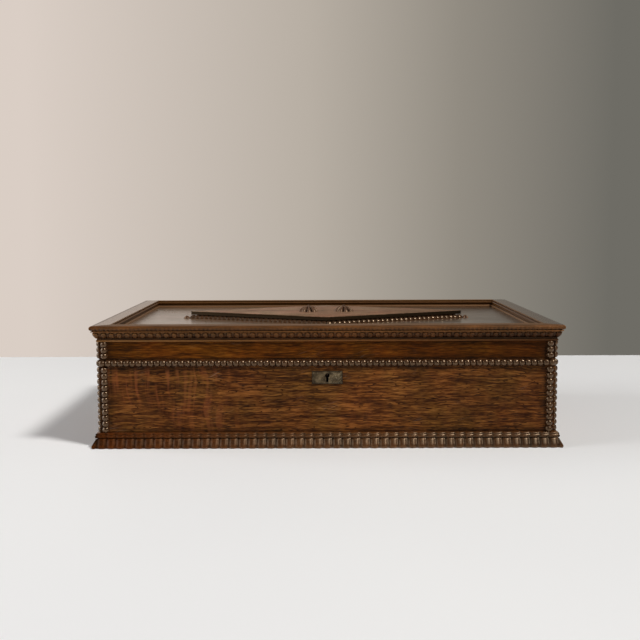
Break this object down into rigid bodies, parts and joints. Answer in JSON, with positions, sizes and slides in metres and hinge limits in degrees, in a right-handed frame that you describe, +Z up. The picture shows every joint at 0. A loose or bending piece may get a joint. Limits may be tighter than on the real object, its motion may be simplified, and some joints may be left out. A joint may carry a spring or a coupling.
{
  "type": "hinged wooden box",
  "caption": "Low rectangular oak box with a hinged lid, rippled mouldings, split-bead strips, a raised lozenge with carved bosses on the lid and a small lock plate in front.",
  "frame": {"origin": "on the ground at the middle of the carcase's footprint, under its bottom board", "axes": "+X along the width to the right, the lock front looks along -Y, +Z up"},
  "size_m": [0.56, 0.3856, 0.1555],
  "materials": {
    "aged_oak": "satin",
    "dark_oak_mouldings": "satin",
    "turned_beads": "satin",
    "escutcheon_brass": "satin",
    "forged_iron": "rough",
    "spring_steel": "satin"
  },
  "bodies": {
    "case": {"back_board": "aged_oak", "bottom_board": "aged_oak", "case_nails": "forged_iron", "corner_beads_front": "turned_beads", "corner_beads_left": "turned_beads", "corner_beads_right": "turned_beads", "escutcheon": "escutcheon_brass", "escutcheon_pins": "escutcheon_brass", "front_board": "aged_oak", "hinge_leaf_case_left": "forged_iron", "hinge_leaf_case_right": "forged_iron", "hinge_pins": "forged_iron", "hinge_screws_case": "forged_iron", "lock_cap": "forged_iron", "lock_case": "forged_iron", "lock_key_pin": "forged_iron", "lock_screws": "forged_iron", "plinth_front": "dark_oak_mouldings", "plinth_left": "dark_oak_mouldings", "plinth_right": "dark_oak_mouldings", "rim_beads_front": "turned_beads", "rim_beads_left": "turned_beads", "rim_beads_right": "turned_beads", "side_board_left": "aged_oak", "side_board_right": "aged_oak"},
    "bolt": {"lock_bolt": "forged_iron", "bolt_hooks": "forged_iron", "lock_spring": "spring_steel"},
    "lid": {"carved_bosses": "dark_oak_mouldings", "cornice_front": "dark_oak_mouldings", "cornice_left": "dark_oak_mouldings", "cornice_right": "dark_oak_mouldings", "hinge_leaf_lid_left": "forged_iron", "hinge_leaf_lid_right": "forged_iron", "hinge_screws_lid": "forged_iron", "inner_moulding_back": "dark_oak_mouldings", "inner_moulding_front": "dark_oak_mouldings", "inner_moulding_left": "dark_oak_mouldings", "inner_moulding_right": "dark_oak_mouldings", "keeper_plate": "forged_iron", "keeper_screws": "forged_iron", "keeper_staples": "forged_iron", "lid_back_rail": "aged_oak", "lid_corner_beads_front": "turned_beads", "lid_corner_beads_left": "turned_beads", "lid_corner_beads_right": "turned_beads", "lid_front_rail": "aged_oak", "lid_nails": "forged_iron", "lid_panel": "aged_oak", "lid_side_rail_left": "aged_oak", "lid_side_rail_right": "aged_oak", "lozenge_beads_back_left": "turned_beads", "lozenge_beads_back_right": "turned_beads", "lozenge_beads_front_left": "turned_beads", "lozenge_beads_front_right": "turned_beads", "lozenge_board": "dark_oak_mouldings", "lozenge_tip_ornaments": "dark_oak_mouldings", "rim_frame_front": "dark_oak_mouldings", "rim_frame_left": "dark_oak_mouldings", "rim_frame_right": "dark_oak_mouldings"}
  },
  "joints": [
    {"name": "lid_hinge", "type": "hinge", "parent": "case", "child": "lid", "pos_m": [0, 0.18815, 0.1063], "axis": [-1, 0, 0], "range_deg": [0, 105]},
    {"name": "lock_bolt_slide", "type": "slide", "parent": "case", "child": "bolt", "axis": [1, 0, 0], "range_m": [0, 0.007]}
  ]
}
